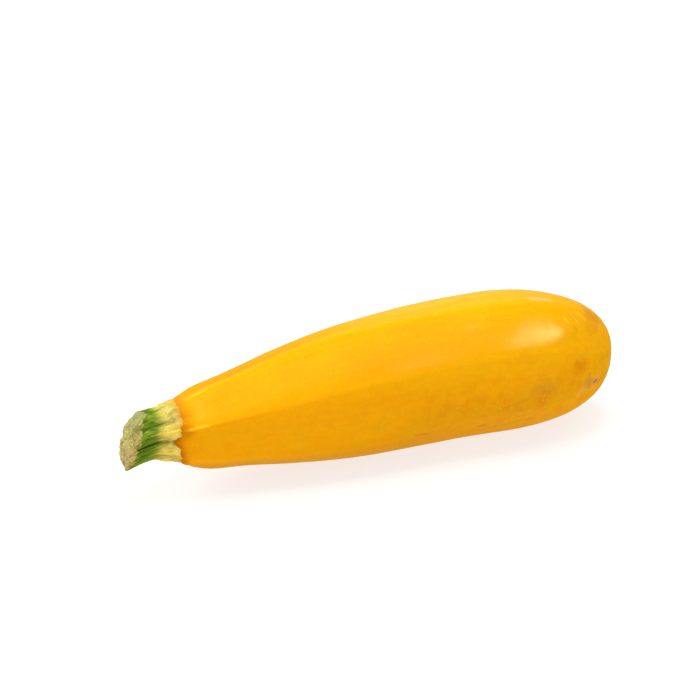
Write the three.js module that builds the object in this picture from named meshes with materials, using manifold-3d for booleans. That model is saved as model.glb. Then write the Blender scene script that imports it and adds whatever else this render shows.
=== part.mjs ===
// A yellow zucchini, picked with a short piece of its stem and lying on its side.
//
// Millimetres, +Z up. X runs from the cut end of the stem (-X) to the blossom end (+X), and the zucchini
// bends in the horizontal plane with both ends towards -Y. The origin is on the surface that it lies on,
// under the middle of its box. It has two pieces: the fruit, and the stem that sits in the fruit's end.
//
// Angles around the fruit and the stem are measured from the side that faces -Y, and grow upwards.

import * as THREE from 'three';
import { mergeVertices } from 'three/addons/utils/BufferGeometryUtils.js';
import Module from 'manifold-3d';

const degrees = THREE.MathUtils.degToRad;
const UP = new THREE.Vector3(0, 0, 1);

// The fruit
const FRUIT_SPAN = 163.5; // straight from the stem joint to the blossom end
const FRUIT_RADIUS = 26.6; // at a ridge, where the fruit is fullest
// Outline from the rim of the stem's seat to the fullest place: [part of the fruit's length, part of
// its radius]. The rim reaches a little past the stem joint, which is at 0.
const FRUIT_OUTLINE = [
  [-0.009, 0.4], [-0.003, 0.43], [0.006, 0.458], [0.022, 0.517], [0.06, 0.598], [0.14, 0.685],
  [0.25, 0.83], [0.38, 0.942], [0.52, 0.983], [0.72, 1],
];
const CAP_BLUNTNESS = 2.35; // power of the rounded blossom end: 2 is an ellipse, and more is squarer
const SEAT_DEPTH = 1.2; // how far the middle of the stem's seat is sunk into the fruit

// The spine leaves the stem almost straight and bends more and more towards the blossom end
const SPINE_LEAN = 0.12; // sideways slope at the stem
const SPINE_BEND = 4.4; // power of the bend: the higher, the later it comes
const SPINE_RISE = 0.03; // upward slope, because the fruit thickens towards the blossom end

// The fruit's ridges
const RIDGE_COUNT = 7;
const FIRST_RIDGE = degrees(35.8); // this one runs straight
// The others wander sideways along the fruit, and are farthest out at these parts of its length
const RIDGE_SWAY = { angle: degrees(5.5), farthest: 0.25, farthestBack: 0.7 };
const RIDGE_ROUNDING = { stem: 0.05, blossom: 0.2 }; // 0 is a sharp crest
const SHOULDER_RIDGE_DEPTH = 0.09; // of the radius, close to the stem
const BODY_RIDGE_DEPTH = 0.05; // of the radius, on the rest of the fruit
const SHOULDER_REACH = 0.3; // part of the length over which the shoulder's ridges soften
const RIDGE_FADE = { stem: 0.03, blossom: 0.15 }; // part of the length over which they run out
// One side is flatter than the others, and more so up to this part of the length
const FLATTEST_SIDE = { angle: degrees(113), width: degrees(25), extra: 0.45, growsTo: 0.5 };

const BELLY_FLAT = 0.35; // depth of the flat that the fruit's own weight presses on its underside

// The stem
const STEM_LENGTH = 17.9; // along its axis, from the joint to the rim of the cut
// Outline from inside the joint to the rim of the cut: [distance from the joint, radius at a lobe]
const STEM_OUTLINE = [
  [-2.5, 10.7], [-0.6, 11.2], [1, 11.3], [2.9, 11.1], [4.7, 10.5], [6.6, 9.9],
  [9.1, 9.1], [12.2, 9.2], [15.1, 9.5], [STEM_LENGTH - 0.7, 9.8], [STEM_LENGTH, 9.2],
];
const STEM_OFFSET = 1; // its axis passes this far above the middle of the fruit
const STEM_YAW = degrees(9.9); // its axis against +X, seen from above
const STEM_PITCH = degrees(2.2); // its cut end points up a little
const STEM_ARCH = 1.3; // how far the waist lies above the axis
const LOBE_COUNT = 8;
const FIRST_LOBE = degrees(31);
const GROOVE_DEPTH = 0.11; // of the radius, between the lobes
const DEEP_GROOVE = { angle: degrees(8.5), width: degrees(14), extra: 0.08 };
const CUT_SLANT = { slope: 0.37, longestSide: degrees(-68) }; // the knife went through at a slant
const CUT_SWELL = 1.2; // dried sap stands this far out of the middle of the cut

const JOINT_GAP = 0.3; // between the stem's foot and its seat in the fruit

// How finely the surfaces are cut into flat facets
const FRUIT_SEGMENTS = RIDGE_COUNT * 8;
const STEM_SEGMENTS = LOBE_COUNT * 7;
const SPLINE_STEPS = 27;
const CAP_STEPS = 13;

/** The line through the middle of the fruit, from the stem joint to the blossom end. */
class Spine extends THREE.Curve {
  getPoint(t, target = new THREE.Vector3()) {
    const x = FRUIT_SPAN * t;
    return target.set(x, SPINE_LEAN * x * (1 - t ** SPINE_BEND), SPINE_RISE * x);
  }
}

/**
 * Turns an outline of (radius, distance along the axis) points round, then puts each vertex
 * where place(radius, angle, along) says. The outline is listed from the -X end, and it is turned from
 * the other end, because the angle grows the other way round here than in a LatheGeometry.
 */
function turnedSurface(outline, segments, place) {
  const geometry = new THREE.LatheGeometry([...outline].reverse(), segments);
  const position = geometry.getAttribute('position');
  for (let i = 0; i < position.count; i++) {
    const radius = Math.hypot(position.getX(i), position.getZ(i));
    const angle = Math.atan2(position.getX(i), position.getZ(i));
    const spot = place(radius, angle, position.getY(i));
    position.setXYZ(i, spot.x, spot.y, spot.z);
  }
  return geometry;
}

/** A point at an angle round an axis that passes through centre. */
function pointAround(centre, axis, radius, angle) {
  const side = new THREE.Vector3().crossVectors(axis, UP).normalize();
  const up = new THREE.Vector3().crossVectors(side, axis);
  return centre.clone()
    .addScaledVector(side, radius * Math.cos(angle))
    .addScaledVector(up, radius * Math.sin(angle));
}

/** Half of the fruit's cross-section through its axis, grown outwards by growth. */
function fruitOutline(spineLength, growth) {
  const spline = new THREE.SplineCurve(
    FRUIT_OUTLINE.map(([along, radius]) => new THREE.Vector2(radius * FRUIT_RADIUS, along * spineLength)),
  );
  const body = spline.getPoints(SPLINE_STEPS);
  const fullest = body[body.length - 1];
  const cap = Array.from({ length: CAP_STEPS - 1 }, (_, step) => {
    const turn = ((step + 1) / CAP_STEPS) * (Math.PI / 2);
    const outwards = Math.cos(turn) ** (2 / CAP_BLUNTNESS);
    const onwards = Math.sin(turn) ** (2 / CAP_BLUNTNESS);
    return new THREE.Vector2(fullest.x * outwards, fullest.y + (spineLength - fullest.y) * onwards);
  });
  const rim = body[0];
  const seat = [
    new THREE.Vector2(0, rim.y + SEAT_DEPTH - growth),
    new THREE.Vector2(rim.x / 2, rim.y + SEAT_DEPTH / 3 - growth),
    new THREE.Vector2(rim.x, rim.y - growth),
  ];
  const skin = [...body.slice(1), ...cap].map((point) => point.setX(point.x + growth));
  return [...seat, ...skin, new THREE.Vector2(0, spineLength)];
}

/** How deep the hollows between the ridges are, as a part of the radius, at t along the fruit. */
function ridgeDepth(angle, t) {
  const fade = Math.min(1, t / RIDGE_FADE.stem, (1 - t) / RIDGE_FADE.blossom);
  const shoulder = (SHOULDER_RIDGE_DEPTH - BODY_RIDGE_DEPTH) * Math.exp(-((t / SHOULDER_REACH) ** 2));
  const fromFlattest = (angle - FLATTEST_SIDE.angle) / FLATTEST_SIDE.width;
  const grown = Math.min(1, t / FLATTEST_SIDE.growsTo);
  const flatness = FLATTEST_SIDE.extra * grown * Math.exp(-(fromFlattest ** 2));
  return fade * (BODY_RIDGE_DEPTH * (1 + flatness) + shoulder);
}

/** 0 on a ridge's crest and about 1 in the hollow between two ridges. */
function hollow(angle, t) {
  const turn = (Math.PI * (t - RIDGE_SWAY.farthest)) / (RIDGE_SWAY.farthestBack - RIDGE_SWAY.farthest);
  const sway = RIDGE_SWAY.angle * Math.cos(turn) * Math.sin(angle - FIRST_RIDGE);
  const wave = Math.sin((RIDGE_COUNT * (angle - sway - FIRST_RIDGE)) / 2);
  const rounding = THREE.MathUtils.lerp(RIDGE_ROUNDING.stem, RIDGE_ROUNDING.blossom, t);
  return Math.hypot(wave, rounding) - rounding;
}

/** The whole fruit before its belly is flattened, grown outwards by growth. */
function fruitSurface(growth) {
  const spine = new Spine();
  const spineLength = spine.getLength();
  return turnedSurface(fruitOutline(spineLength, growth), FRUIT_SEGMENTS, (radius, angle, along) => {
    const t = THREE.MathUtils.clamp(along / spineLength, 0, 1);
    const axis = spine.getTangentAt(t);
    const centre = spine.getPointAt(t).addScaledVector(axis, Math.min(along, 0));
    return pointAround(centre, axis, radius * (1 - ridgeDepth(angle, t) * hollow(angle, t)), angle);
  });
}

/** The stem's radius against a lobe's crest: sharp grooves between round lobes, one of them deep. */
function lobedShare(angle) {
  const groove = 1 - Math.abs(Math.cos((LOBE_COUNT * (angle - FIRST_LOBE)) / 2));
  const fromDeep = (angle - DEEP_GROOVE.angle) / DEEP_GROOVE.width;
  return 1 - groove * (GROOVE_DEPTH + DEEP_GROOVE.extra * Math.exp(-(fromDeep ** 2)));
}

/** The stem, with its foot still running into the fruit. */
function stemSurface() {
  const spline = new THREE.SplineCurve(
    STEM_OUTLINE.map(([along, radius]) => new THREE.Vector2(radius, -along)),
  );
  const side = spline.getPoints(2 * (STEM_OUTLINE.length - 1)).reverse();
  const foot = new THREE.Vector2(0, side[side.length - 1].y);
  const cut = [0, 0.35, 0.7].map((share) => (
    new THREE.Vector2(share * side[0].x, -STEM_LENGTH - CUT_SWELL * (1 - share ** 2))
  ));
  const outline = [...cut, ...side, foot];
  const axis = new THREE.Vector3(1, 0, 0)
    .applyAxisAngle(new THREE.Vector3(0, 1, 0), STEM_PITCH)
    .applyAxisAngle(UP, STEM_YAW);
  return turnedSurface(outline, STEM_SEGMENTS, (radius, angle, along) => {
    const lobed = radius * lobedShare(angle);
    const towardsCut = THREE.MathUtils.clamp(-along / STEM_LENGTH, 0, 1);
    const slant = CUT_SLANT.slope * lobed * Math.cos(angle - CUT_SLANT.longestSide) * towardsCut;
    const centre = axis.clone().multiplyScalar(along - slant);
    centre.z += STEM_OFFSET + STEM_ARCH * Math.sin(Math.PI * towardsCut);
    return pointAround(centre, axis, lobed, angle);
  });
}

const wasm = await Module();
wasm.setup();

/** A closed three.js geometry as a solid that can be cut. */
function solidOf(geometry) {
  const bare = geometry.clone();
  bare.deleteAttribute('normal');
  bare.deleteAttribute('uv');
  const merged = mergeVertices(bare);
  return new wasm.Manifold(new wasm.Mesh({
    numProp: 3,
    vertProperties: merged.getAttribute('position').array,
    triVerts: new Uint32Array(merged.index.array),
  }));
}

/** A solid as a three.js geometry again. */
function geometryOf(solid) {
  const { vertProperties, triVerts } = solid.getMesh();
  const geometry = new THREE.BufferGeometry();
  geometry.setAttribute('position', new THREE.BufferAttribute(vertProperties, 3));
  geometry.setIndex(new THREE.BufferAttribute(triVerts, 1));
  geometry.computeVertexNormals();
  return geometry;
}

/** Everything below height, as a block wide enough to trim the fruit with. */
function blockBelow(height) {
  const side = 4 * FRUIT_SPAN;
  return new THREE.BoxGeometry(side, side, side).translate(0, 0, height - side / 2);
}

const wholeFruit = fruitSurface(0);
wholeFruit.computeBoundingBox();
const surfaceHeight = wholeFruit.boundingBox.min.z + BELLY_FLAT;

const fruit = new THREE.Mesh(
  geometryOf(solidOf(wholeFruit).subtract(solidOf(blockBelow(surfaceHeight)))),
  new THREE.MeshStandardMaterial({ color: 0xf8b012, roughness: 0.35, metalness: 0 }),
);
fruit.name = 'fruit';

const stem = new THREE.Mesh(
  geometryOf(solidOf(stemSurface()).subtract(solidOf(fruitSurface(JOINT_GAP)))),
  new THREE.MeshStandardMaterial({ color: 0x8ba636, roughness: 0.7, metalness: 0 }),
);
stem.name = 'stem';

const zucchini = new THREE.Group();
zucchini.add(fruit, stem);
const middle = new THREE.Box3().setFromObject(zucchini).getCenter(new THREE.Vector3());
zucchini.position.set(-middle.x, -middle.y, -surfaceHeight);

export default zucchini;
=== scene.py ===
"""A yellow zucchini lying on a pale surface: the looks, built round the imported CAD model.

Metres, +Z up, in the CAD model's own frame: the stem's cut end is towards -X, the blossom end towards +X.
The fruit and the stem follow the CAD pieces' formulas on a much finer mesh, which adds what grows on the
real thing: uneven skin, the blossom's scar, the stem's scalloped foot, its fibres and its rough cut.
Angles round the fruit and the stem are measured from the side that faces -Y, and grow upwards.
"""

import functools
import itertools
import math
from types import SimpleNamespace

import bpy
import numpy as np
from mathutils import Matrix, Vector


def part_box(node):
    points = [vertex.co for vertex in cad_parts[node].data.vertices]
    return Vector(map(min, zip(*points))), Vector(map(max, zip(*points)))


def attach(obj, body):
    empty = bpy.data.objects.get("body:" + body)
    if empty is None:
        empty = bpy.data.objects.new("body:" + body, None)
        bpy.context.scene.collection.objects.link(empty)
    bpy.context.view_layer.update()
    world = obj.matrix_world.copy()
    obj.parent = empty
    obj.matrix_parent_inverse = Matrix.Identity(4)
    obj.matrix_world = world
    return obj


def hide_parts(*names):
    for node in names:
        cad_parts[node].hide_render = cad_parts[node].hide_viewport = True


MM = 0.001
UP = np.array([0.0, 0.0, 1.0])

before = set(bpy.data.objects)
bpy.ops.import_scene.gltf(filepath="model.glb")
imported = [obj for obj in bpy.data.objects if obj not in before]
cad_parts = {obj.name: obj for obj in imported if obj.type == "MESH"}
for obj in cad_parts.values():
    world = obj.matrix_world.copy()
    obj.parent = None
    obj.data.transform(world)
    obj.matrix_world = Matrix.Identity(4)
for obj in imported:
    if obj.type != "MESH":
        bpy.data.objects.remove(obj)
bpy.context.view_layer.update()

# The driving dimensions, from the frame
FRUIT_LOW, FRUIT_HIGH = (np.array(corner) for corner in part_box("fruit"))
FRUIT_SIZE = FRUIT_HIGH - FRUIT_LOW
SPAN = 0.9683 * FRUIT_SIZE[0]  # straight from the stem joint to the blossom end
RADIUS = 0.5105 * FRUIT_SIZE[2]  # at a ridge, where the fruit is fullest
JOINT = FRUIT_LOW + FRUIT_SIZE * [0.0165, 0.308, 0.4234]  # where the stem meets the fruit's middle line
STEM_LOW, STEM_HIGH = (np.array(corner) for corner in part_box("stem"))
STEM_SIZE = STEM_HIGH - STEM_LOW
STEM_LENGTH = 0.811 * STEM_SIZE[0]  # along its axis, from the joint to the rim of the cut
STEM_RADIUS = 0.5042 * STEM_SIZE[2]  # at a lobe of its foot

# The fruit's outline from the rim of the stem's seat to the fullest place: (share of length, share of
# radius). The rim reaches a little past the stem joint, which is at 0.
FRUIT_OUTLINE = [
    (-0.009, 0.4), (-0.003, 0.43), (0.006, 0.458), (0.022, 0.517), (0.06, 0.598), (0.14, 0.685),
    (0.25, 0.83), (0.38, 0.942), (0.52, 0.983), (0.72, 1),
]
CAP_BLUNTNESS = 2.35  # power of the rounded blossom end: 2 is an ellipse, and more is squarer
SPINE_LEAN = 0.12  # sideways slope at the stem
SPINE_BEND = 4.4  # power of the bend towards -Y: the higher, the later it comes
SPINE_RISE = 0.03  # slope upwards, all along

RIDGE_COUNT = 7
FIRST_RIDGE = math.radians(35.8)
RIDGE_SWAY = math.radians(5.5)
SWAY_FARTHEST = 0.25  # the share of the length where the ridges are farthest out
SWAY_FARTHEST_BACK = 0.7
RIDGE_ROUNDING_AT_STEM = 0.05
RIDGE_ROUNDING_AT_BLOSSOM = 0.2
SHOULDER_RIDGE_DEPTH = 0.09
BODY_RIDGE_DEPTH = 0.05
SHOULDER_REACH = 0.3
RIDGE_FADE_AT_STEM = 0.03
RIDGE_FADE_AT_BLOSSOM = 0.15
FLATTEST_SIDE = math.radians(113)
FLATTEST_WIDTH = math.radians(25)
FLATTEST_EXTRA = 0.45
FLATTEST_FROM = 0.5

# The stem's outline: (share of its length, share of its radius) from inside the joint to the cut's rim
STEM_OUTLINE = [
    (-0.12, 0.96), (-0.034, 1.0), (0.056, 1.0), (0.162, 0.982), (0.263, 0.929),
    (0.369, 0.876), (0.508, 0.805), (0.682, 0.814), (0.844, 0.841), (0.961, 0.867), (1, 0.83),
]
STEM_OFFSET = 0.0885 * STEM_RADIUS  # its axis passes above the middle of the fruit
STEM_ARCH = 0.115 * STEM_RADIUS
STEM_YAW = math.radians(9.9)
STEM_PITCH = math.radians(2.2)
LOBE_COUNT = 8
FIRST_LOBE = math.radians(31)
GROOVE_DEPTH = 0.11
DEEP_GROOVE_ANGLE = math.radians(8.5)
DEEP_GROOVE_WIDTH = math.radians(14)
DEEP_GROOVE_EXTRA = 0.08
CUT_SLOPE = 0.37
CUT_LONGEST_SIDE = math.radians(-68)
CUT_SWELL = 0.106 * STEM_RADIUS
LONG_SIDE = math.radians(-38)  # the stem was torn off a little later on this side
LONG_SIDE_WIDTH = math.radians(42)
LONG_SIDE_EXTRA = 0.09 * STEM_RADIUS


# ------------------------------------------------------------------ shapes in general

def catmull_rom(points, steps):
    """A smooth line through the points, with this many samples between two of them."""
    padded = np.array([points[0], *points, points[-1]], float)
    share = np.linspace(0, 1, steps, endpoint=False)[:, None]
    spans = []
    for before, start, end, after in zip(padded, padded[1:], padded[2:], padded[3:]):
        leaving, arriving = (end - before) / 2, (after - start) / 2
        spans.append(
            (2 * start - 2 * end + leaving + arriving) * share**3
            + (3 * end - 3 * start - 2 * leaving - arriving) * share**2
            + leaving * share
            + start
        )
    return np.vstack([*spans, padded[-1:]])


def bell(value, width):
    """1 at value 0, falling to almost nothing two widths away."""
    return np.exp(-((value / width) ** 2))


def smoothstep(low, high, value):
    """0 below low and 1 above high, with a smooth change in between."""
    share = np.clip((value - low) / (high - low), 0, 1)
    return share * share * (3 - 2 * share)


def unit(vectors):
    return vectors / np.linalg.norm(vectors, axis=-1, keepdims=True)


RANDOM = np.random.default_rng(7)
CORNERS = 256  # how many slopes the lumps choose from
CORNER_SLOPES = unit(RANDOM.normal(size=(CORNERS, 3)))
SHUFFLED = RANDOM.permutation(CORNERS)


def lumps(points, size, seed):
    """Smooth noise between about -1 and 1 at each point, with lumps about this size."""
    spot = points / size + seed
    corner = np.floor(spot).astype(int)
    inside = spot - corner
    fade = inside**3 * (inside * (inside * 6 - 15) + 10)
    total = np.zeros(points.shape[:-1])
    for offset in itertools.product((0, 1), repeat=3):
        x, y, z = np.moveaxis((corner + offset) % CORNERS, -1, 0)
        choice = (SHUFFLED[(SHUFFLED[x] + y) % CORNERS] + z) % CORNERS
        slope = CORNER_SLOPES[SHUFFLED[choice]]
        weight = np.prod(np.where(offset, fade, 1 - fade), axis=-1)
        total += weight * ((inside - offset) * slope).sum(-1)
    return 1.6 * total


def across(axis):
    """The two directions across an axis: the one that faces -Y, and the one that faces up."""
    side = unit(np.cross(axis, UP))
    return side, np.cross(side, axis)


def within_half_turn(angle):
    """The same angle, between minus and plus half a turn."""
    return (angle + math.pi) % (2 * math.pi) - math.pi


def points_round(centre, side, up, around, radius):
    """Points at angles around their centres and at a radius from them."""
    outwards = np.cos(around)[..., None] * side + np.sin(around)[..., None] * up
    return centre + radius[..., None] * outwards


def evenly(outline, step):
    """The outline again, with points a step apart along its own length. Further columns are carried on."""
    lengths = np.concatenate([[0], np.cumsum(np.linalg.norm(np.diff(outline[:, :2], axis=0), axis=1))])
    wanted = np.linspace(0, lengths[-1], round(lengths[-1] / step) + 1)
    return np.stack([np.interp(wanted, lengths, column) for column in outline.T], -1)


def straightened(along, radius, around):
    """Points in coordinates where the piece is straight and round: along it, then across it."""
    return np.stack([along, radius * np.cos(around), radius * np.sin(around)], -1)


def turn_steps(columns):
    """Angles once around, starting underneath."""
    return -math.pi / 2 + np.arange(columns) * 2 * math.pi / columns


def add_bake_map(mesh, rows, columns, quads):
    """Lays the mesh out flat, once around and from end to end, with the seam underneath."""
    row, column = np.divmod(quads, columns)
    column = np.where((column == 0) & (column[:, 3:] == 0), columns, column)
    sides = np.stack([column / columns, (row + 1) / (rows + 1)], -1).reshape(-1, 2)
    middle = (np.arange(columns) + 0.5) / columns
    start, end = np.arange(columns) / columns, np.arange(1, columns + 1) / columns
    low, high = 1 / (rows + 1), rows / (rows + 1)
    ends = []
    for tip, ring, first, second in ((0, low, start, end), (1, high, end, start)):
        corners = [(middle, tip), (first, ring), (second, ring)]
        fan = [np.stack([u, np.full(columns, v)], -1) for u, v in corners]
        ends.append(np.stack(fan, 1).reshape(-1, 2))
    layer = mesh.uv_layers.new(name="OFBake")
    layer.data.foreach_set("uv", np.vstack([sides, *ends]).ravel())


def add_values(mesh, shares, places):
    """Numbers and vectors at each ring point, for the material. A tip takes the mean of the ring by it."""
    for label, values in shares.items():
        layer = mesh.attributes.new(label, "FLOAT", "POINT")
        layer.data.foreach_set("value", np.append(values.ravel(), [values[0].mean(), values[-1].mean()]))
    for label, values in places.items():
        layer = mesh.attributes.new(label, "FLOAT_VECTOR", "POINT")
        everywhere = np.vstack([values.reshape(-1, 3), values[0].mean(0), values[-1].mean(0)])
        layer.data.foreach_set("vector", everywhere.ravel())


def closed_mesh(name, rings, tips, material, shares, places):
    """A closed mesh through rings of points, with a tip at each end.

    shares are numbers and places are vectors at each ring point, and the material reads both by name.
    """
    rows, columns = rings.shape[:2]
    index = np.arange(rows * columns).reshape(rows, columns)
    ahead = np.roll(index, -1, axis=1)
    quads = np.stack([index[:-1], index[1:], ahead[1:], ahead[:-1]], -1).reshape(-1, 4)
    low, high = rows * columns, rows * columns + 1
    low_fan = [(low, a, b) for a, b in zip(index[0], ahead[0])]
    high_fan = [(high, b, a) for a, b in zip(index[-1], ahead[-1])]
    mesh = bpy.data.meshes.new(name)
    points = np.vstack([rings.reshape(-1, 3), *tips])
    mesh.from_pydata(points.tolist(), [], [*quads.tolist(), *low_fan, *high_fan])
    add_values(mesh, shares, places)
    add_bake_map(mesh, rows, columns, quads)
    mesh.shade_smooth()
    mesh.materials.append(material)
    piece = bpy.data.objects.new(name, mesh)
    bpy.context.scene.collection.objects.link(piece)
    return piece


# ------------------------------------------------------------------ the fruit's shape

def spine_point(x):
    t = x / SPAN
    return np.stack([x, SPINE_LEAN * x * (1 - t**SPINE_BEND), SPINE_RISE * x], axis=-1)


SPINE_X = np.linspace(0, SPAN, 1001)
SPINE_STEPS = np.linalg.norm(np.diff(spine_point(SPINE_X), axis=0), axis=1)
SPINE_ALONG = np.concatenate([[0], np.cumsum(SPINE_STEPS)])
FRUIT_LENGTH = SPINE_ALONG[-1]


def spine_frame(along):
    """Centre, side and up at distances along the spine."""
    x = np.interp(along, SPINE_ALONG, SPINE_X)
    slope = SPINE_LEAN * (1 - (1 + SPINE_BEND) * (x / SPAN) ** SPINE_BEND)
    axis = unit(np.stack([np.ones_like(x), slope, np.full_like(x, SPINE_RISE)], axis=-1))
    past_joint = np.minimum(along, 0)[..., None] * axis
    return spine_point(x) + JOINT + past_joint, *across(axis)


def fruit_point(along, around, radius):
    """Points at distances along the spine, at angles around it and at a radius from it."""
    return points_round(*spine_frame(along), around, radius)


def hollow(around, t):
    """0 on a ridge's crest and about 1 in the hollow between two ridges."""
    turn = math.pi * (t - SWAY_FARTHEST) / (SWAY_FARTHEST_BACK - SWAY_FARTHEST)
    sway = RIDGE_SWAY * np.cos(turn) * np.sin(around - FIRST_RIDGE)
    wave = np.sin(RIDGE_COUNT * (around - sway - FIRST_RIDGE) / 2)
    rounding = RIDGE_ROUNDING_AT_STEM + (RIDGE_ROUNDING_AT_BLOSSOM - RIDGE_ROUNDING_AT_STEM) * t
    return np.hypot(wave, rounding) - rounding


def ridge_depth(around, t):
    """How deep the hollows between the ridges are, as a share of the radius."""
    fade = np.clip(np.minimum(t / RIDGE_FADE_AT_STEM, (1 - t) / RIDGE_FADE_AT_BLOSSOM), 0, 1)
    shoulder = (SHOULDER_RIDGE_DEPTH - BODY_RIDGE_DEPTH) * bell(t, SHOULDER_REACH)
    from_flattest = within_half_turn(around - FLATTEST_SIDE)
    grown = np.minimum(1, t / FLATTEST_FROM)
    flatness = FLATTEST_EXTRA * grown * bell(from_flattest, FLATTEST_WIDTH)
    return fade * (BODY_RIDGE_DEPTH * (1 + flatness) + shoulder)


def fruit_outline():
    """Distances along the spine and the radius there, from the stem joint to the blossom end."""
    body = catmull_rom(FRUIT_OUTLINE, steps=30) * [FRUIT_LENGTH, RADIUS]
    fullest = body[-1, 0]
    turn = np.linspace(0, math.pi / 2, num=400)
    outwards = np.cos(turn) ** (2 / CAP_BLUNTNESS)
    onwards = np.sin(turn) ** (2 / CAP_BLUNTNESS)
    cap = np.stack([fullest + (FRUIT_LENGTH - fullest) * onwards, RADIUS * outwards], axis=-1)
    return np.vstack([body, cap[1:]])


def skin_place(angle, t):
    """A spot on the skin in straightened coordinates, from its angle in degrees and share of length."""
    outline = fruit_outline()
    radius = np.interp(t * FRUIT_LENGTH, outline[:, 0], outline[:, 1])
    return straightened(t * FRUIT_LENGTH, radius, math.radians(angle))


def distance_from(spot, straight):
    return np.linalg.norm(straight - spot, axis=-1)


# Places on the skin: angle in degrees and share of length
FULL_CHEEK = (58, 0.69)
BLOSSOM_SCAR = (-9, 0.953)


def unevenness(straight):
    """How far the skin stands out: slow swellings, small lumps, lengthwise ripples and one full cheek."""
    slow = 0.22 * MM * lumps(straight, 34 * MM, 3.1)
    small = 0.07 * MM * lumps(straight, 11 * MM, 17.4)
    tiny = 0.014 * MM * lumps(straight, 3.4 * MM, 41.9)
    ripples = 0.02 * MM * lumps(straight / [12, 1, 1], 3 * MM, 62.3)
    cheek = 0.5 * MM * bell(distance_from(skin_place(*FULL_CHEEK), straight), 13 * MM)
    return slow + small + tiny + ripples + cheek


def blossom_scar(straight):
    """The dimple and the puckered rim that the blossom left, a little to one side of the end."""
    away = distance_from(skin_place(*BLOSSOM_SCAR), straight)
    edge = away + 1.2 * MM * lumps(straight, 3 * MM, 8.8)
    pucker = 0.12 * MM * lumps(straight, 1.3 * MM, 77.7) * bell(edge, 5 * MM)
    flattening = 1.1 * MM * bell(away, 11 * MM)
    rim = 0.25 * MM * bell(edge - 5 * MM, 1.6 * MM)
    dimple = 0.5 * MM * bell(edge, 3 * MM)
    return rim - dimple + pucker - flattening


FRUIT_COLUMNS = 308
FRUIT_STEP = 0.62 * MM
EVEN_BY_STEM = 0.02  # the share of the length over which the unevenness grows in from the stem joint
COLLAR_REACH = 4.2 * MM  # how far the skin grows over the stem's foot on its collar side
COLLAR_SIDE = math.radians(65)
COLLAR_START = 4 * MM  # this far past the joint, the skin starts to lean over the foot
FOLD_DEPTH = 0.95 * MM  # of the skin where it meets the grooves between the stem's lobes
FOLD_START = -1 * MM  # the folds are deepest up to here, and gone at FOLD_REACH
FOLD_REACH = 3.5 * MM


def skin_round_stem(around, along):
    """How far the skin by the stem folds inwards, and how far it grows over the stem's foot."""
    around_stem = np.arctan2(np.sin(around) - 2 * STEM_OFFSET / STEM_RADIUS, np.cos(around))
    fold = FOLD_DEPTH * groove_between_lobes(around_stem) * (1 - smoothstep(FOLD_START, FOLD_REACH, along))
    one_sided = ((1 + np.cos(around - COLLAR_SIDE)) / 2) ** 2
    collar = COLLAR_REACH * one_sided * (1 - smoothstep(0, COLLAR_START, along))
    return fold, collar


def build_fruit(material):
    along, smooth_radius = evenly(fruit_outline(), FRUIT_STEP)[:-1].T
    around, along = np.meshgrid(turn_steps(FRUIT_COLUMNS), along)
    t = along / FRUIT_LENGTH
    straight = straightened(along, smooth_radius[:, None], around)
    between_ridges = hollow(around, t)
    radius = smooth_radius[:, None] * (1 - ridge_depth(around, t) * between_ridges)
    radius = radius + (unevenness(straight) + blossom_scar(straight)) * smoothstep(0, EVEN_BY_STEM, t)
    fold, collar = skin_round_stem(around, along)
    rings = fruit_point(along - collar, around, np.maximum(radius - fold, 0))
    rings[..., 2] = np.maximum(rings[..., 2], 0)  # the belly lies flat on the floor
    blossom_end = spine_frame(np.array([FRUIT_LENGTH]))[0]
    return closed_mesh(
        "fruit_skin", rings, [rings[0].mean(0)[None], blossom_end], material,
        {"crest": 1 - between_ridges}, {"straight": straight},
    )


# ------------------------------------------------------------------ the stem's shape

STEM_COLUMNS = LOBE_COUNT * 64
STEM_STEP = 0.25 * MM
CUT_STEPS = 40
GROOVE_VARIETY = 0.3  # how much deeper or shallower than usual a groove may be


def groove_between_lobes(around):
    """0 on a lobe's crest and 1 at the bottom of the groove between two lobes."""
    return 1 - np.abs(np.cos(LOBE_COUNT * (around - FIRST_LOBE) / 2))


def lobed_share(around, groove, towards_cut):
    """The stem's radius against a lobe's crest. The grooves get shallower towards the foot."""
    grown = 0.5 + 0.5 * smoothstep(0.1, 0.5, towards_cut)
    from_deep = within_half_turn(around - DEEP_GROOVE_ANGLE)
    depth = GROOVE_DEPTH * (1 + GROOVE_VARIETY * np.sin(2 * around + 2))
    return 1 - groove * (depth * grown + DEEP_GROOVE_EXTRA * bell(from_deep, DEEP_GROOVE_WIDTH))


def stem_outline():
    """Distance from the joint, radius, and whether it is on the cut, from the foot to the cut's middle."""
    side_line = catmull_rom(STEM_OUTLINE, steps=12) * [STEM_LENGTH, STEM_RADIUS]
    rim = side_line[-1, 1]
    share = np.linspace(1, 0.01, CUT_STEPS)
    cut_line = np.stack([STEM_LENGTH + CUT_SWELL * (1 - share**2), share * rim], -1)
    outline = np.vstack([side_line, cut_line[1:]])
    on_cut = np.arange(len(outline)) >= len(side_line)
    return evenly(np.column_stack([outline, on_cut]), STEM_STEP)


# Swellings and dents of the dried cut: angle in degrees, distance from its middle, size and height in mm
CUT_SWELLINGS = [
    (-122, 7.5, 3.6, 1.3), (-88, 9.0, 2.2, -0.9), (178, 7.5, 2.6, 0.7), (-160, 9.0, 1.6, -0.8),
    (85, 6.5, 3.0, 0.7), (5, 8.5, 1.8, -0.6),
]

# The flap of sap that hangs over the rim
FLAP = straightened(0.9 * STEM_LENGTH, 0.8 * STEM_RADIUS, math.radians(94))


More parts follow.
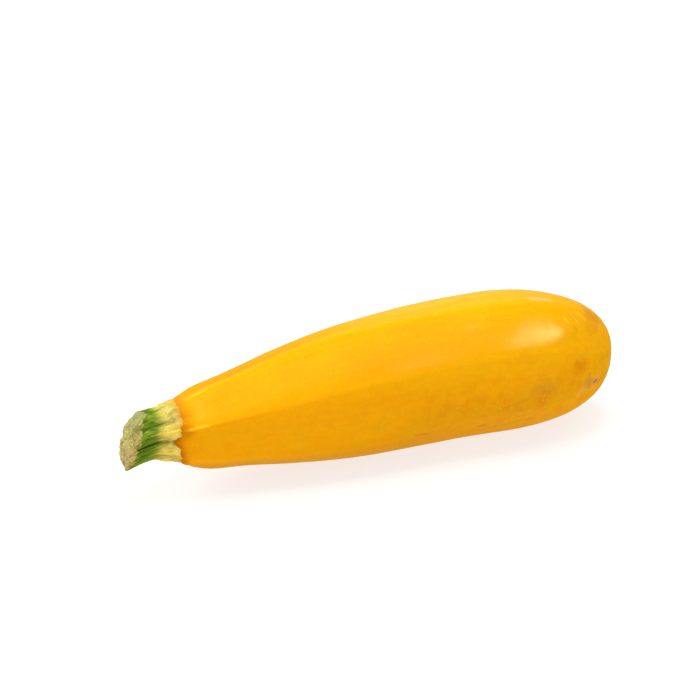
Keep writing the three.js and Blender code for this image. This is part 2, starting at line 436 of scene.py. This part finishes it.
def cut_swelling(straight):
    total = 0
    for angle, distance, size, height in CUT_SWELLINGS:
        middle = straightened(0, distance * MM, math.radians(angle))
        away = np.linalg.norm((straight - middle)[..., 1:], axis=-1)
        total = total + height * MM * bell(away, size * MM)
    return total


def stem_relief(straight, groove, towards_cut, cut):
    """How far the stem's surface stands out: puffy foot, fibres on the green part, a lumpy cut."""
    foot = 1 - smoothstep(0.3, 0.6, towards_cut)
    fibres = smoothstep(0.25, 0.7, towards_cut) * (1 - cut)
    puffs = 0.5 * MM * lumps(straight / [1.6, 1, 1], 2.6 * MM, 5.5) * foot
    folds = 0.26 * MM * lumps(straight / [3, 1, 1], 1.1 * MM, 9.2) * foot
    strings = 0.16 * MM * lumps(straight / [14, 1, 1], 0.8 * MM, 23.6) * fibres
    fine_strings = 0.07 * MM * lumps(straight / [14, 1, 1], 0.4 * MM, 35.1) * fibres
    swellings = (cut_swelling(straight) + 0.7 * MM * lumps(straight, 4.6 * MM, 11.3)) * cut
    crumbs = 0.7 * MM * lumps(straight, 2.1 * MM, 50.7) * cut
    grains = 0.3 * MM * lumps(straight, 0.8 * MM, 91.2) * cut
    lip = 0.3 * MM * bell(towards_cut - 1.02, 0.05) * (1 - 0.6 * groove)
    flap = 0.5 * MM * bell(distance_from(FLAP, straight), 2.4 * MM)
    return puffs + folds + strings + fine_strings + swellings + crumbs + grains + lip + flap


def stem_axis():
    """The direction from the cut towards the fruit."""
    level = math.cos(STEM_PITCH)
    return np.array([level * math.cos(STEM_YAW), level * math.sin(STEM_YAW), -math.sin(STEM_PITCH)])


def stem_slant(around, radius, towards_cut):
    """How much longer the stem is here than at its axis: the cut slopes, and one side was torn longer."""
    sloping = CUT_SLOPE * radius * np.cos(around - CUT_LONGEST_SIDE) * towards_cut
    outwards = radius / STEM_RADIUS
    torn = LONG_SIDE_EXTRA * bell(around - LONG_SIDE, LONG_SIDE_WIDTH) * (outwards * towards_cut) ** 2
    return sloping + torn


def build_stem(material):
    along, smooth_radius, cut = stem_outline().T
    slope = unit(np.stack([np.gradient(along), np.gradient(smooth_radius)], -1))
    backwards = within_half_turn(turn_steps(STEM_COLUMNS))[::-1]  # this mesh grows towards -X
    around, along = np.meshgrid(backwards, along)
    cut = np.broadcast_to(cut[:, None], along.shape)
    groove = groove_between_lobes(around)
    lobed = smooth_radius[:, None] * lobed_share(around, groove, along / STEM_LENGTH)
    straight = straightened(along, lobed, around)
    relief = stem_relief(straight, groove, along / STEM_LENGTH, cut)
    along = along - relief * slope[:, 1:]
    radius = np.maximum(lobed + relief * slope[:, :1], 0)
    towards_cut = np.clip(along / STEM_LENGTH, 0, 1)
    axis = stem_axis()
    centre = JOINT - (along + stem_slant(around, radius, towards_cut))[..., None] * axis
    centre[..., 2] += STEM_OFFSET + STEM_ARCH * np.sin(math.pi * towards_cut)
    rings = points_round(centre, *across(axis), around, radius)
    return closed_mesh(
        "stem_bark", rings, [rings[0].mean(0)[None], rings[-1].mean(0)[None]], material,
        {"groove": groove, "cut": cut}, {"straight": straight},
    )


# ------------------------------------------------------------------ materials

class Paint:
    """One material's node tree. A node's input takes a number, a colour or another node's output."""

    def __init__(self, name):
        self.material = bpy.data.materials.new(name)
        self.material.use_nodes = True
        self.tree = self.material.node_tree
        self.shader = self.tree.nodes["Principled BSDF"]

    def plug(self, socket, value):
        if isinstance(value, bpy.types.NodeSocket):
            self.tree.links.new(value, socket)
        elif socket.type == "RGBA":
            socket.default_value = (*value, 1)
        else:
            socket.default_value = value

    def node(self, kind, inputs, **settings):
        made = self.tree.nodes.new("ShaderNode" + kind)
        for setting, value in settings.items():
            setattr(made, setting, value)
        for socket, value in inputs.items():
            self.plug(made.inputs[socket], value)
        return made

    def share(self, name):
        """A number that the mesh carries."""
        return self.node("Attribute", {}, attribute_name=name).outputs["Fac"]

    def place(self, name):
        """A vector that the mesh carries."""
        return self.node("Attribute", {}, attribute_name=name).outputs["Vector"]

    def math(self, operation, first, second=0.0):
        return self.node("Math", {0: first, 1: second}, operation=operation).outputs[0]

    def times(self, first, second):
        return self.math("MULTIPLY", first, second)

    def plus(self, first, second):
        return self.math("ADD", first, second)

    def weighted(self, *parts):
        """The sum of some values, each times its own weight."""
        return functools.reduce(self.plus, [self.times(value, weight) for value, weight in parts])

    def centred(self, noise):
        """Noise around 0 instead of around 0.5."""
        return self.math("SUBTRACT", noise, 0.5)

    def between(self, low, high, value, start=0.0, end=1.0):
        """start where the value is at or before low, end where it is past high, smooth in between."""
        inputs = {0: value, 1: low, 2: high, 3: start, 4: end}
        return self.node("MapRange", inputs, interpolation_type="SMOOTHSTEP").outputs[0]

    def tint(self, colour, other, *shares):
        """The colour with this share of another one mixed in. Several shares are multiplied."""
        share = functools.reduce(self.times, shares)
        return self.node("Mix", {0: share, 6: colour, 7: other}, data_type="RGBA").outputs[2]

    def stretched(self, vector, scale):
        """The same coordinates with features this many times longer in each direction."""
        inverse = tuple(1 / s for s in scale)
        return self.node("Mapping", {"Vector": vector, "Scale": inverse}).outputs[0]

    def noise(self, vector, size, detail=2.0, roughness=0.5):
        """Cloudy noise from 0 to 1 with clouds about this size."""
        inputs = {"Vector": vector, "Scale": 1 / size, "Detail": detail, "Roughness": roughness}
        return self.node("TexNoise", inputs).outputs["Fac"]

    def cells(self, vector, size):
        """Distance to the nearest of scattered points, as a share of their spacing, and random numbers."""
        made = self.node("TexVoronoi", {"Vector": vector, "Scale": 1 / size})
        return made.outputs["Distance"], self.node("SeparateColor", {0: made.outputs["Color"]}).outputs

    def surface(self, colour, roughness, height, bump_depth, specular):
        bump = self.node("Bump", {"Height": height, "Distance": bump_depth, "Strength": 1.0})
        self.plug(self.shader.inputs["Base Color"], colour)
        self.plug(self.shader.inputs["Roughness"], roughness)
        self.plug(self.shader.inputs["Specular IOR Level"], specular)
        self.plug(self.shader.inputs["Normal"], bump.outputs[0])


# Skin colours, linear
GOLD = (0.95, 0.385, 0.0)
YELLOW = (0.86, 0.435, 0.0)
BUTTERCUP = (0.96, 0.45, 0.0)
ORANGE = (0.90, 0.30, 0.0)
DEEP_ORANGE = (0.88, 0.25, 0.0)
# Painted shade in the crease round the stem's foot
CREASE_SHADE = (0.42, 0.115, 0.0)
DULL = (0.82, 0.342, 0.001)
# Painted reflection, paler on the back of the skin
PAINTED_BACK_REFLECTION = (0.92, 0.46, 0.08)
# Painted shade for the bottom of the fruit
UNDERSIDE_SHADE = (0.72, 0.26, 0.001)
BROWN = (0.55, 0.22, 0.02)
BURNT = (0.80, 0.26, 0.001)
PURPLE = (0.33, 0.16, 0.10)
SCAR = (0.62, 0.25, 0.035)
CORK = (0.92, 0.49, 0.07)
SPECK = (0.97, 0.54, 0.05)
PALE = (1.0, 0.56, 0.015)
SCUFF = (0.94, 0.50, 0.18)
GREENISH = (0.72, 0.47, 0.04)

# Marks on the skin: angle in degrees, share of length, length and width in mm, turn in degrees,
# colour and strength. A turn of 0 lies along the fruit.
MARKS = [
    (-10, 0.962, 9.0, 7.0, 0, CORK, 0.4),
    (-6, 0.952, 7.5, 4.2, 75, SCAR, 0.6),
    (-11, 0.962, 6.0, 4.0, 60, SCAR, 0.4),
    (-12.3, 0.971, 2.6, 1.8, 30, PURPLE, 0.8),
    (-18, 0.983, 5.5, 1.8, 0, SCAR, 0.6),
    (-15, 0.932, 6.5, 5.0, 20, CORK, 0.35),
    (20, 0.930, 9.5, 7.5, 40, BURNT, 0.55),
    (22, 0.927, 5.5, 4.5, 0, BURNT, 0.4),
    (34.6, 0.950, 1.9, 1.7, 0, GREENISH, 0.6),
    (35.7, 0.612, 2.0, 1.5, 0, GREENISH, 0.35),
    (65.6, 0.663, 5.0, 2.4, 20, CORK, 0.35),
    (4.5, 0.828, 14.0, 7.0, -8, BROWN, 0.32),
    (-4, 0.825, 10.0, 6.0, 10, BURNT, 0.45),
    (4, 0.650, 11.0, 5.0, 0, BURNT, 0.4),
    (97, 0.955, 10.0, 6.0, -25, SCAR, 0.6),
    (91, 0.951, 10.0, 3.4, -30, BURNT, 0.8),
    (86, 0.945, 6.0, 3.0, -20, BURNT, 0.7),
    # Painted shade: duller on top near the blossom end
    (75, 0.955, 15.0, 6.0, 75, DULL, 0.7),
    (69, 0.892, 4.0, 0.8, -50, SPECK, 0.9),
    (72.5, 0.916, 6.5, 0.8, -53, SPECK, 0.9),
    (80, 0.930, 5.0, 0.7, -40, SPECK, 0.8),
    (76, 0.912, 2.8, 1.4, -50, BROWN, 0.35),
    (61, 0.915, 3.4, 1.6, -60, BROWN, 0.25),
    (93, 0.835, 11.0, 4.5, -3, SCUFF, 0.6),
    # Painted highlights: thin pale glints on the two ridges by the stem
    (37, 0.030, 7.5, 1.2, -2, PALE, 0.7),
    (87.5, 0.047, 7.0, 0.8, -2, PALE, 0.8),
    (-27.5, 0.663, 5.0, 2.6, 0, BROWN, 0.7),
    (-20, 0.508, 9.0, 1.6, -8, BROWN, 0.8),
    (-31, 0.788, 6.0, 2.0, 0, BROWN, 0.6),
    (-34, 0.720, 16.0, 2.0, 6, BROWN, 0.3),
    (-4, 0.755, 12.0, 1.6, 15, BROWN, 0.2),
    (150, 0.450, 9.0, 2.2, 15, CORK, 0.4),
    (190, 0.700, 14.0, 3.0, -5, BROWN, 0.25),
    (215, 0.300, 6.0, 1.0, 10, CORK, 0.5),
    (140, 0.820, 8.0, 1.0, 30, PALE, 0.4),
    (-75, 0.500, 20.0, 6.0, 0, BROWN, 0.2),
]
MARK_DEPTH = 12 * MM  # across the skin: enough for where the skin curves away from the mark's middle

# Patches with corky specks: angle in degrees, share of length, length and width in mm
SPECKLED = [
    (67, 0.563, 14, 9), (58, 0.52, 7, 5), (20, 0.87, 34, 24), (5, 0.70, 60, 26), (-20, 0.75, 70, 24),
    (5, 0.45, 50, 16), (200, 0.5, 40, 12),
]
SPECK_SPACING = 1.5 * MM
DOT_SPACING = 1.7 * MM


def skin_spot(paint):
    """What the skin's colours depend on: the place on the fruit, and noises from clouds down to grain."""
    place = paint.place("straight")
    along, facing, height = paint.node("SeparateXYZ", {0: place}).outputs
    return SimpleNamespace(
        place=place,
        t=paint.times(along, 1 / FRUIT_LENGTH),
        facing=facing,
        height=height,
        crest=paint.share("crest"),
        clouds=paint.noise(place, 16 * MM, detail=3),
        mottle=paint.noise(place, 4 * MM, detail=3),
        streaks=paint.noise(paint.stretched(place, (9, 1, 1)), 2.2 * MM, detail=3),
        grain=paint.noise(place, 1.4 * MM, detail=3),
        fine_grain=paint.noise(place, 0.7 * MM, detail=2),
    )


def gold(paint, spot):
    """The ripe skin's own colour, paler in clouds and along the ridges."""
    colour = paint.tint(GOLD, YELLOW, paint.between(0.45, 0.75, spot.clouds), 0.5)
    on_crest = paint.between(0.75, 0.98, spot.crest)
    return paint.tint(colour, YELLOW, on_crest, paint.between(0.1, 0.45, spot.t), 0.5)


def orange_by_stem(paint, spot, colour):
    """Orange by the stem. Deeper orange right next to it is partly its own colour and partly painted shade
    by the foot, and deeper orange on the back of the shoulder is painted shade.
    """
    by_stem = paint.between(0.10, 0.0, paint.plus(spot.t, paint.times(spot.mottle, 0.03)))
    next_to_it = paint.between(0.035, 0.005, paint.plus(spot.t, paint.times(spot.mottle, 0.02)))
    colour = paint.tint(colour, ORANGE, by_stem, 0.5)
    # Partly painted shade next to the stem's foot
    colour = paint.tint(colour, DEEP_ORANGE, next_to_it, 0.7)
    # Painted shade on the back of the shoulder
    on_back = paint.between(1 * MM, -4 * MM, spot.facing)
    return paint.tint(colour, DEEP_ORANGE, paint.between(0.5, 0.15, spot.t), on_back)


def ripe_tones_with_painted_light(paint, spot, colour):
    """Yellow on top and at the blossom end. Painted shade makes it duller above the front ridge and
    painted light yellower below it, and a painted reflection makes it paler behind.
    """
    t, facing, height = spot.t, spot.facing, spot.height
    on_top = paint.between(10 * MM, 17 * MM, height)
    colour = paint.tint(colour, YELLOW, on_top, paint.between(0.5, 0.75, t), 0.8)
    colour = paint.tint(colour, BUTTERCUP, paint.between(0.88, 0.98, t), 0.7)
    # Painted shade: duller above the front ridge
    above_ridge = paint.between(15 * MM, 18 * MM, height)
    in_front = paint.between(8 * MM, 14 * MM, facing)
    colour = paint.tint(colour, DULL, above_ridge, in_front, paint.between(0.25, 0.45, t), 0.6)
    # Painted light: yellower below the front ridge
    below_ridge = paint.between(17 * MM, 14 * MM, height)
    above_low_side = paint.between(7 * MM, 13 * MM, height)
    colour = paint.tint(colour, BUTTERCUP, below_ridge, above_low_side, paint.between(0.3, 0.6, t), 0.6)
    # Painted reflection: paler on the back
    on_back = paint.between(-2 * MM, -12 * MM, facing)
    return paint.tint(colour, PAINTED_BACK_REFLECTION, on_back, paint.between(0.3, 0.6, t), 0.6)


def grained(paint, spot, colour):
    """Orange streaks along the fruit, and pale and dull grain."""
    colour = paint.tint(colour, ORANGE, paint.between(0.35, 0.75, spot.streaks), 0.35)
    colour = paint.tint(colour, DULL, paint.between(0.4, 0.7, spot.mottle), 0.3)
    colour = paint.tint(colour, PALE, paint.between(0.35, 0.7, spot.fine_grain), 0.2)
    return paint.tint(colour, DULL, paint.between(0.45, 0.75, spot.grain), 0.3)


def crease_shaded(paint, spot, colour):
    """Painted shade: a dark orange band in the crease round the stem's foot. It reaches further along the
    fruit on top.
    """
    further_on_top = paint.between(2 * MM, 8 * MM, spot.height, 0.0, -0.013)
    away = paint.plus(paint.plus(spot.t, paint.times(spot.mottle, 0.012)), further_on_top)
    return paint.tint(colour, CREASE_SHADE, paint.between(0.018, -0.003, away), 0.85)


def film_and_lower_shade(paint, spot):
    """The share of dull film, which also stands in as painted shade: in clouds on the lower side, mostly
    at three quarters of the length.
    """
    low_side = paint.between(8 * MM, -5 * MM, spot.height)
    film_and_shade = paint.times(low_side, paint.between(0.3, 0.7, spot.t))
    film_and_shade = paint.times(film_and_shade, paint.between(0.1, 0.55, spot.clouds))
    return paint.times(film_and_shade, paint.between(0.94, 0.76, spot.t, 0.2, 1.0))


def weathered_and_shaded_below(paint, spot, colour, film_and_shade):
    """The lower side: its film, which is partly painted shade, painted shade that darkens the bottom,
    orange smudges and small brown stains.
    """
    # The film darkens the lower side, partly as painted shade
    colour = paint.tint(colour, DULL, film_and_shade)
    # Painted shade: darker along the bottom
    underside_shade = paint.between(-3 * MM, -13 * MM, spot.height)
    colour = paint.tint(colour, UNDERSIDE_SHADE, underside_shade, paint.between(0.7, 0.45, spot.t, 0.2, 0.75))
    smudges = paint.between(0.50, 0.66, paint.noise(spot.place, 6 * MM, detail=3))
    low_side = paint.between(12 * MM, 3 * MM, spot.height)
    colour = paint.tint(colour, BURNT, smudges, low_side, paint.between(0.4, 0.6, spot.t), 0.4)
    stains = paint.times(paint.between(0.5, 0.72, spot.grain), paint.between(0.45, 0.7, spot.mottle))
    return paint.tint(colour, BROWN, film_and_shade, stains, 0.6)


def mark_mask(paint, place, edge_noise, angle, t, length, width, turn):
    """1 in the middle of a mark on the skin, falling to 0 at its ragged edge."""
    around, lean = math.radians(angle), math.radians(turn)
    outwards = Vector((0, math.cos(around), math.sin(around)))
    sideways = Vector((0, -math.sin(around), math.cos(around)))
    lengthwise = Vector((math.cos(lean), 0, 0)) + math.sin(lean) * sideways
    turned = Matrix((lengthwise, outwards.cross(lengthwise), outwards)).transposed().to_euler()
    half_sizes = (length / 2 * MM, width / 2 * MM, MARK_DEPTH / 2)
    inputs = {"Vector": place, "Location": skin_place(angle, t), "Rotation": turned, "Scale": half_sizes}
    local = paint.node("Mapping", inputs, vector_type="TEXTURE").outputs[0]
    away = paint.node("VectorMath", {0: local}, operation="LENGTH").outputs["Value"]
    return paint.between(1.25, 0.35, paint.plus(away, edge_noise))


def speckles(paint, place, angle, t, length, width):
    """Corky specks scattered over one patch of skin, some fainter than others."""
    distance, random = paint.cells(place, SPECK_SPACING)
    specks = paint.times(paint.between(0.30, 0.12, distance), paint.between(0.2, 0.9, random[1]))
    return paint.times(specks, mark_mask(paint, place, 0.0, angle, t, length, width, 0))


def marked(paint, spot, colour):
    """Scars, bruises, scuffs and scratches with ragged edges, two painted highlights by the stem and one
    painted shade near the blossom end, and patches of corky specks.
    """
    edge_noise = paint.weighted((paint.centred(spot.mottle), 1.4), (paint.centred(spot.grain), 1.6))
    for angle, t, length, width, turn, tone, strength in MARKS:
        mask = mark_mask(paint, spot.place, edge_noise, angle, t, length, width, turn)
        colour = paint.tint(colour, tone, mask, strength)
    for patch in SPECKLED:
        colour = paint.tint(colour, SPECK, speckles(paint, spot.place, *patch), 0.5)
    return colour


def pale_dots(paint, spot):
    """The share of small pale dots, which cover the whole skin, some bigger than others."""
    distance, random = paint.cells(spot.place, DOT_SPACING)
    edge = paint.plus(paint.times(random[0], 0.1), 0.1)
    return paint.between(edge, 0.05, distance)


def skin_material():
    paint = Paint("zucchini_skin")
    spot = skin_spot(paint)
    film_and_shade = film_and_lower_shade(paint, spot)
    dots = pale_dots(paint, spot)
    colour = gold(paint, spot)
    for change in (orange_by_stem, ripe_tones_with_painted_light, grained, crease_shaded):
        colour = change(paint, spot, colour)
    colour = weathered_and_shaded_below(paint, spot, colour, film_and_shade)
    colour = marked(paint, spot, colour)
    colour = paint.tint(colour, PALE, dots, 0.8)
    roughness = paint.plus(paint.weighted((spot.clouds, 0.06), (film_and_shade, 0.12)), 0.11)
    relief = paint.weighted(
        (spot.mottle, 0.5), (spot.fine_grain, 0.25), (spot.streaks, 0.2), (dots, 0.25), (spot.grain, 0.3)
    )
    paint.surface(colour, roughness, relief, bump_depth=0.08 * MM, specular=0.04)
    return paint.material


# Stem colours, linear
CREAM = (0.74, 0.54, 0.14)
# Painted highlights on the foot's crinkles
IVORY = (0.90, 0.76, 0.27)
BUTTER = (0.76, 0.49, 0.025)
# Painted light on the crests of the foot's low lobes
BRIGHT = (0.90, 0.66, 0.07)
TAN = (0.72, 0.34, 0.02)
MOSS = (0.46, 0.41, 0.05)
STRAW = (0.52, 0.42, 0.09)
# Painted shade in the foot's grooves and crinkles
OLIVE = (0.34, 0.26, 0.02)
LEAF = (0.17, 0.29, 0.003)
LIGHT_GREEN = (0.32, 0.42, 0.025)
DARK_GREEN = (0.05, 0.11, 0.001)
KHAKI = (0.37, 0.33, 0.10)
SAP_GREEN = (0.27, 0.30, 0.11)
PITH = (0.50, 0.45, 0.17)
DRY_BROWN = (0.16, 0.11, 0.03)
BLUSH = (0.46, 0.31, 0.14)
OCHRE = (0.33, 0.25, 0.05)


def stem_spot(paint):
    """What the stem's colours depend on: the place on it, and noises from blotches down to fine fibres."""
    place = paint.place("straight")
    along, facing, height = paint.node("SeparateXYZ", {0: place}).outputs
    fibre_place = paint.stretched(place, (12, 1, 1))
    return SimpleNamespace(
        place=place,
        along=along,
        towards_cut=paint.times(along, 1 / STEM_LENGTH),
        facing=facing,
        height=height,
        groove=paint.share("groove"),
        cut=paint.share("cut"),
        fibres=paint.noise(fibre_place, 1.1 * MM, detail=3),
        fine_fibres=paint.noise(fibre_place, 0.5 * MM, detail=2),
        blotches=paint.noise(paint.stretched(place, (2, 1, 1)), 2.6 * MM, detail=3),
        net=paint.noise(place, 1.3 * MM, detail=3, roughness=0.6),
        crumbs=paint.noise(place, 0.9 * MM, detail=3, roughness=0.7),
    )


def foot_colour(paint, spot):
    """Butter yellow and cream with a mossy net and tan next to the skin, with painted shade in the
    grooves, painted light on the low lobes' crests, and painted highlights and shade on crinkles.
    """
    groove, height = spot.groove, spot.height
    colour = paint.tint(BUTTER, CREAM, paint.between(0.35, 0.65, spot.blotches))
    colour = paint.tint(colour, MOSS, paint.between(0.48, 0.62, spot.net), 0.75)
    colour = paint.tint(colour, STRAW, paint.between(5 * MM, 9 * MM, height), 0.65)
    # Painted shade in the grooves
    colour = paint.tint(colour, OLIVE, paint.between(0.4, 0.95, groove), 0.7)
    # Painted light on the crests of the low lobes
    painted_light_on_low_crests = paint.times(paint.between(0.25, 0.0, groove), paint.between(8 * MM, 5 * MM, height))
    colour = paint.tint(colour, BRIGHT, painted_light_on_low_crests, 0.7)
    colour = paint.tint(colour, BLUSH, paint.between(0.60, 0.75, spot.crumbs), 0.5)
    # Painted crinkles: pale painted highlights and olive painted shade
    painted_crinkles = paint.noise(paint.stretched(spot.place, (2.2, 1, 1)), 2.4 * MM, detail=2)
    crinkle_highlight_lines = paint.math("ABSOLUTE", paint.centred(painted_crinkles))
    colour = paint.tint(colour, IVORY, paint.between(0.07, 0.0, crinkle_highlight_lines), 0.45)
    colour = paint.tint(colour, OLIVE, paint.between(0.56, 0.72, painted_crinkles), 0.6)
    from_skin = paint.plus(spot.along, paint.times(spot.blotches, -2 * MM))
    return paint.tint(colour, TAN, paint.between(3.4 * MM, 0.2 * MM, from_skin), 0.8)


def green_colour(paint, spot):
    """Dark, leaf green and light fibres."""
    colour = paint.tint(DARK_GREEN, LEAF, paint.between(0.38, 0.65, spot.fibres))
    return paint.tint(colour, LIGHT_GREEN, paint.between(0.48, 0.68, spot.fine_fibres), 0.75)


def side_colour(paint, spot):
    """From the foot to the green, which starts sooner in the grooves. Its fibres run into the yellow. Deep
    in the grooves of the green part, dark green is painted shade.
    """
    reach = paint.plus(spot.towards_cut, paint.times(spot.groove, 0.10))
    reach = paint.plus(reach, paint.times(paint.centred(spot.fibres), 0.5))
    colour = paint.tint(foot_colour(paint, spot), MOSS, paint.between(0.40, 0.62, reach))
    colour = paint.tint(colour, green_colour(paint, spot), paint.between(0.50, 0.72, reach))
    # Painted shade deep in the grooves
    groove_shade = paint.between(0.6, 0.95, spot.groove)
    return paint.tint(colour, DARK_GREEN, groove_shade, paint.between(0.4, 0.6, spot.towards_cut), 0.8)


def sap_colour(paint, spot):
    """Dried sap: khaki, green on top, ochre in front and pink below, with pale crumbs and brown pits."""
    colour = paint.tint(KHAKI, SAP_GREEN, paint.between(-2 * MM, 9 * MM, spot.height))
    colour = paint.tint(colour, OCHRE, paint.between(0.0, 6 * MM, spot.facing), 0.85)
    lower = paint.between(4 * MM, -4 * MM, spot.height, 0.15, 0.8)
    colour = paint.tint(colour, BLUSH, paint.between(0.4, 0.6, spot.blotches), lower)
    colour = paint.tint(colour, PITH, paint.between(0.50, 0.62, spot.crumbs), 0.7)
    colour = paint.tint(colour, DRY_BROWN, paint.between(0.42, 0.34, spot.net), 0.8)
    cracks = paint.math("ABSOLUTE", paint.centred(spot.net))
    return paint.tint(colour, DRY_BROWN, paint.between(0.03, 0.0, cracks), 0.6)


def sap_cover(paint, spot):
    """1 on the cut and where the sap spills over its rim, most of all at the flap, and 0 elsewhere."""
    spill = paint.plus(spot.towards_cut, paint.times(paint.centred(spot.net), 0.25))
    from_flap = paint.node("VectorMath", {0: spot.place, 1: FLAP}, operation="DISTANCE").outputs["Value"]
    spill = paint.plus(spill, paint.between(4 * MM, 1 * MM, from_flap, 0.0, 0.15))
    return paint.math("MAXIMUM", paint.between(0.965, 0.985, spill), paint.between(0.3, 0.7, spot.cut))


def stem_material():
    paint = Paint("zucchini_stem")
    spot = stem_spot(paint)
    sap = sap_cover(paint, spot)
    colour = paint.tint(side_colour(paint, spot), sap_colour(paint, spot), sap)
    roughness = paint.between(0.0, 1.0, sap, 0.5, 0.85)
    relief = paint.weighted((spot.crumbs, 0.8), (spot.fine_fibres, 0.5))
    paint.surface(colour, roughness, relief, bump_depth=0.3 * MM, specular=0.1)
    return paint.material


WHITE = (1, 1, 1)
WARM = (1, 1, 0.5)
PAPER = (0.3, 0.3, 0.3)
PAPER_GLOW = 0.71


def floor_material():
    """White paper on a light table: it glows a little, so that the shadow on it stays pale."""
    paint = Paint("floor_paper")
    fibres = paint.noise(paint.node("TexCoord", {}).outputs["Object"], 2 * MM)
    paint.surface(PAPER, 0.9, fibres, bump_depth=0.01 * MM, specular=0.5)
    paint.plug(paint.shader.inputs["Emission Color"], WHITE)
    paint.plug(paint.shader.inputs["Emission Strength"], PAPER_GLOW)
    return paint.material


# ------------------------------------------------------------------ the zucchini

fruit = build_fruit(skin_material())
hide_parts("fruit")
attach(fruit, "root")

stem = build_stem(stem_material())
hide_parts("stem")
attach(stem, "root")


# ------------------------------------------------------------------ studio

FLOOR_SIZE = 8
HORIZON_HALF_WIDTH = 0.05  # of the change from ground to sky
GROUND = (0.55, 0.42, 0.08)
SKY = (0.57, 0.57, 0.57)

# Name, direction it comes from, distance, width, height, watts, and whether it is mirrored
LIGHTS = [
    ("overhead", (0, 0.05, 1), 2.4, 1.2, 1.2, 31.0, False),
    ("back_left", (-0.6, 0.6, 0.6), 1.8, 0.9, 0.9, 19.0, False),
    ("left", (-1, -0.1, 0.4), 1.8, 0.9, 0.9, 8.0, False),
    ("window", (0.42, -0.20, 0.88), 1.8, 0.62, 0.42, 34.0, True),
    ("open_window", (0.49, -0.15, 0.86), 1.8, 0.3, 0.42, 12.0, True),
    ("left_window", (-0.37, -0.03, 0.93), 1.8, 0.36, 0.4, 5.0, True),
]

LENS = 103.9  # in mm
CAMERA_AZIMUTH = -14.9
CAMERA_ELEVATION = 33
CAMERA_DISTANCE = 0.72  # from its target, and the angles say where it stands as seen from there
CAMERA_TARGET = JOINT + SPAN * np.array([0.3853, 0, 0.1517])


def aim(thing, target):
    direction = Vector(target) - thing.location
    thing.rotation_euler = direction.to_track_quat("-Z", "Y").to_euler()


def direction_from(azimuth, elevation):
    """Towards a viewer at that azimuth (0 looks along +Y) and elevation."""
    a, e = math.radians(azimuth), math.radians(elevation)
    return Vector((math.sin(a) * math.cos(e), -math.cos(a) * math.cos(e), math.sin(e)))


def make_floor():
    bpy.ops.mesh.primitive_plane_add(size=FLOOR_SIZE)
    floor = bpy.context.object
    floor.name = "floor"
    floor.data.materials.append(floor_material())
    floor.visible_glossy = False  # the skin mirrors the dimmer ground of the world instead


def area_light(name, location, target, width, height, watts, mirrored):
    """A soft light. A mirrored one only makes warm highlights, and the others only light the surfaces."""
    data = bpy.data.lights.new(name, "AREA")
    data.color = WARM if mirrored else WHITE
    data.shape = "RECTANGLE"
    data.size = width
    data.size_y = height
    data.energy = watts
    light = bpy.data.objects.new(name, data)
    light.location = location
    light.visible_glossy = mirrored
    light.visible_diffuse = not mirrored
    bpy.context.scene.collection.objects.link(light)
    aim(light, target)


def make_world():
    """Even light from above and a warm ground that only reflections see. The camera sees white."""
    world = bpy.data.worlds.new("studio")
    world.use_nodes = True
    nodes, links = world.node_tree.nodes, world.node_tree.links
    place = nodes.new("ShaderNodeTexCoord")
    split = nodes.new("ShaderNodeSeparateXYZ")
    horizon = nodes.new("ShaderNodeMapRange")
    horizon.inputs["From Min"].default_value = -HORIZON_HALF_WIDTH
    horizon.inputs["From Max"].default_value = HORIZON_HALF_WIDTH
    sky = nodes.new("ShaderNodeMix")
    sky.data_type = "RGBA"
    sky.inputs[6].default_value = (*GROUND, 1)
    sky.inputs[7].default_value = (*SKY, 1)
    links.new(place.outputs["Generated"], split.inputs[0])
    links.new(split.outputs["Z"], horizon.inputs["Value"])
    links.new(horizon.outputs[0], sky.inputs[0])
    seen = nodes.new("ShaderNodeMix")
    seen.data_type = "RGBA"
    seen.inputs[7].default_value = (*WHITE, 1)
    links.new(nodes.new("ShaderNodeLightPath").outputs["Is Camera Ray"], seen.inputs[0])
    links.new(sky.outputs[2], seen.inputs[6])
    links.new(seen.outputs[2], nodes["Background"].inputs["Color"])
    bpy.context.scene.world = world


def make_camera():
    data = bpy.data.cameras.new("camera")
    data.lens = LENS
    camera = bpy.data.objects.new("camera", data)
    target = Vector(CAMERA_TARGET)
    camera.location = target + CAMERA_DISTANCE * direction_from(CAMERA_AZIMUTH, CAMERA_ELEVATION)
    aim(camera, target)
    bpy.context.scene.collection.objects.link(camera)
    bpy.context.scene.camera = camera


make_floor()
make_world()
middle = Vector((FRUIT_LOW + FRUIT_HIGH) / 2)
for light_name, light_from, distance, width, height, watts, mirrored in LIGHTS:
    spot = middle + distance * Vector(light_from).normalized()
    area_light(light_name, spot, middle, width, height, watts, mirrored)

make_camera()
bpy.context.scene.view_settings.view_transform = "Standard"
